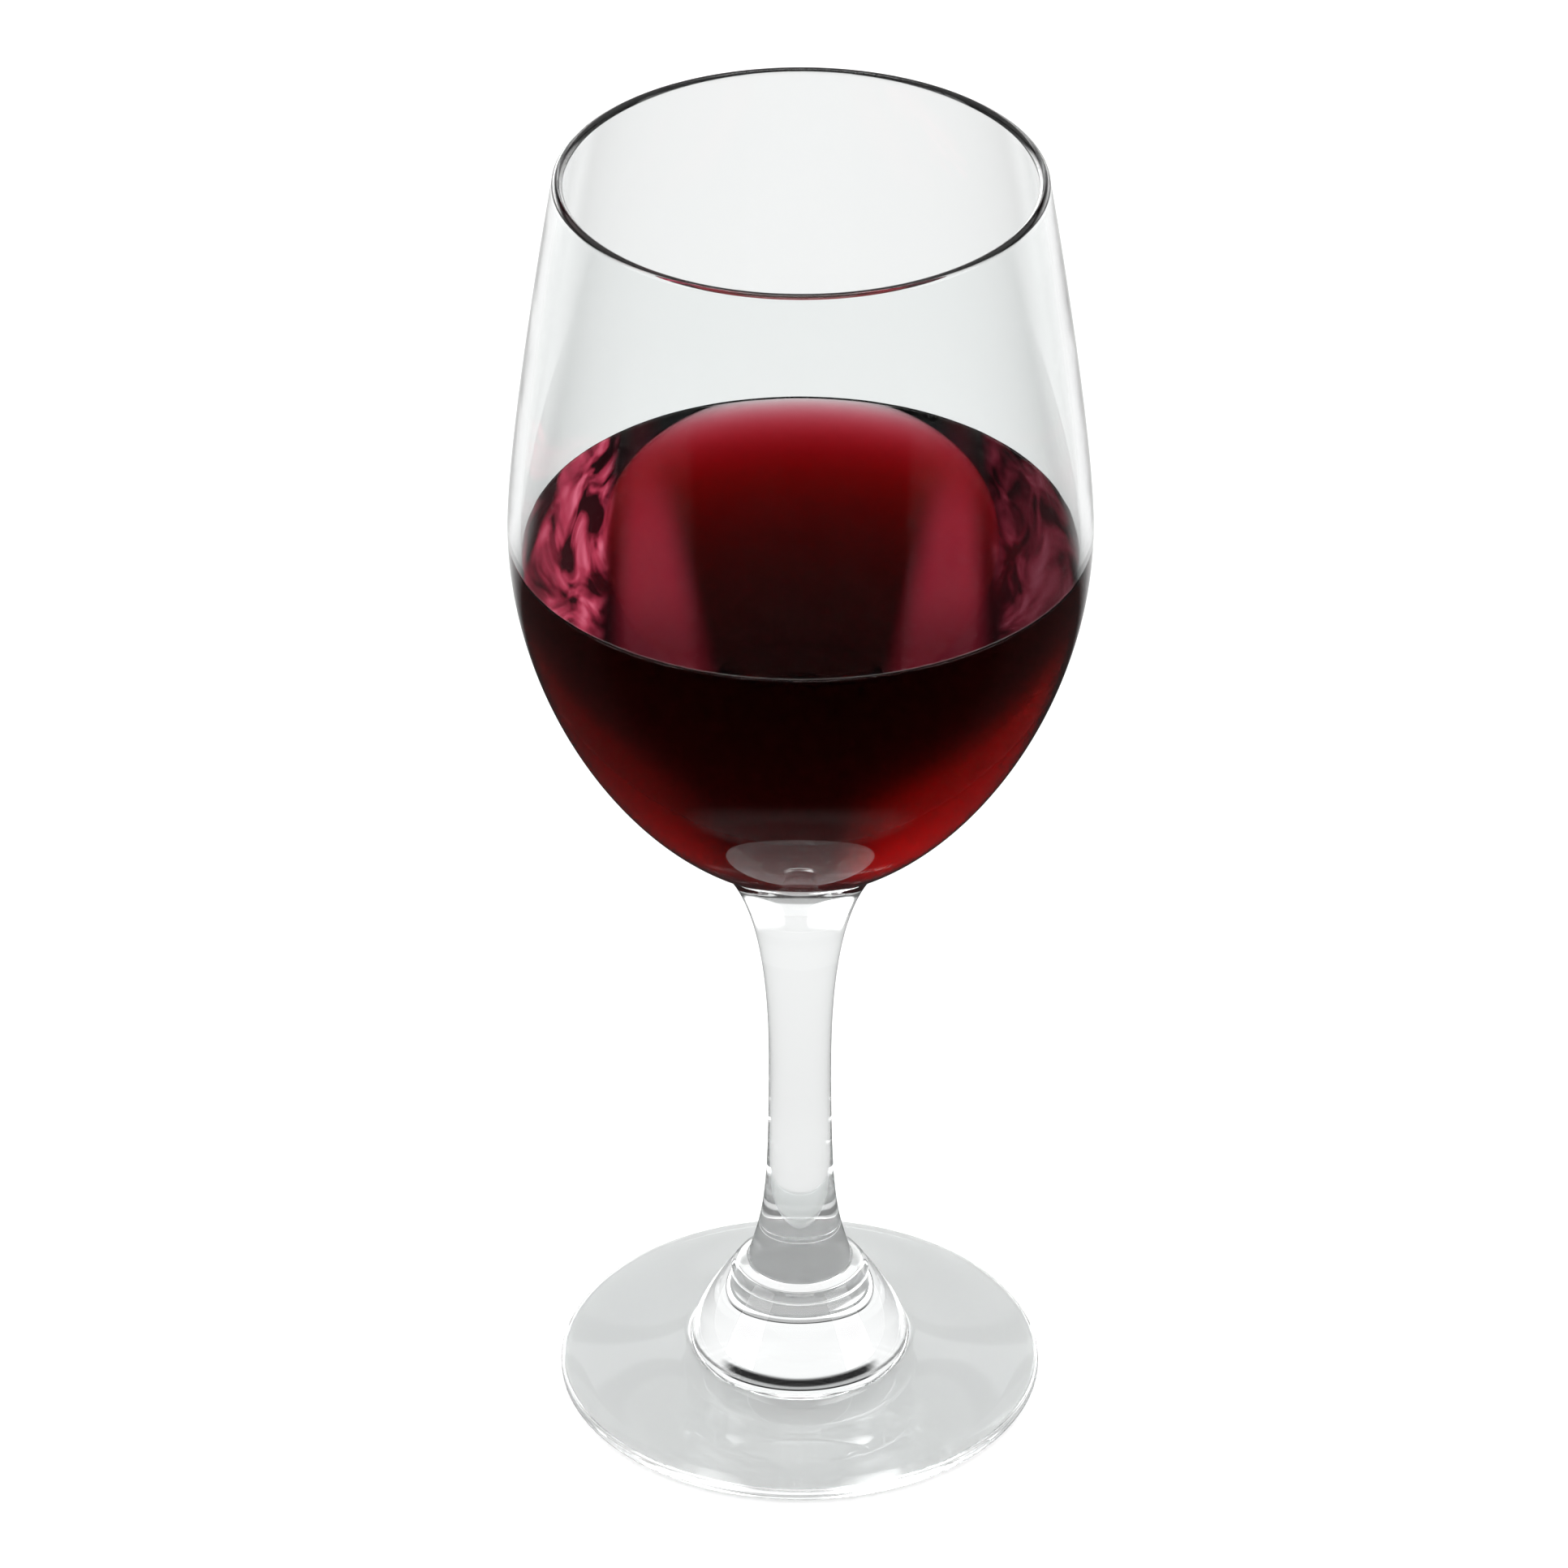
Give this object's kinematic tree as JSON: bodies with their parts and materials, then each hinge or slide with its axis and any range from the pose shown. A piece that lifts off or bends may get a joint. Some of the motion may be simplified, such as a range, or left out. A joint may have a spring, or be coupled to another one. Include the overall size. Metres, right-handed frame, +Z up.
{
  "type": "wine glass",
  "caption": "Stemmed wine glass: a tapered bowl half filled with red wine, a slim waisted stem, a short collar and a round foot with a domed centre.",
  "frame": {"origin": "centre of the foot's resting ring, on the plane that the glass stands on", "axes": "+Z up along the axis of the glass, from the foot to the rim; X and Y are alike, because every piece is round about Z"},
  "size_m": [0.0742, 0.0742, 0.1784],
  "materials": {
    "clear_glass": "fire-polished clear soda-lime glass",
    "red_wine": "clear deep crimson liquid, still surface"
  },
  "bodies": {
    "root": {"bowl": "clear_glass", "stem": "clear_glass", "collar": "clear_glass", "foot": "clear_glass", "wine": "red_wine"}
  },
  "joints": []
}
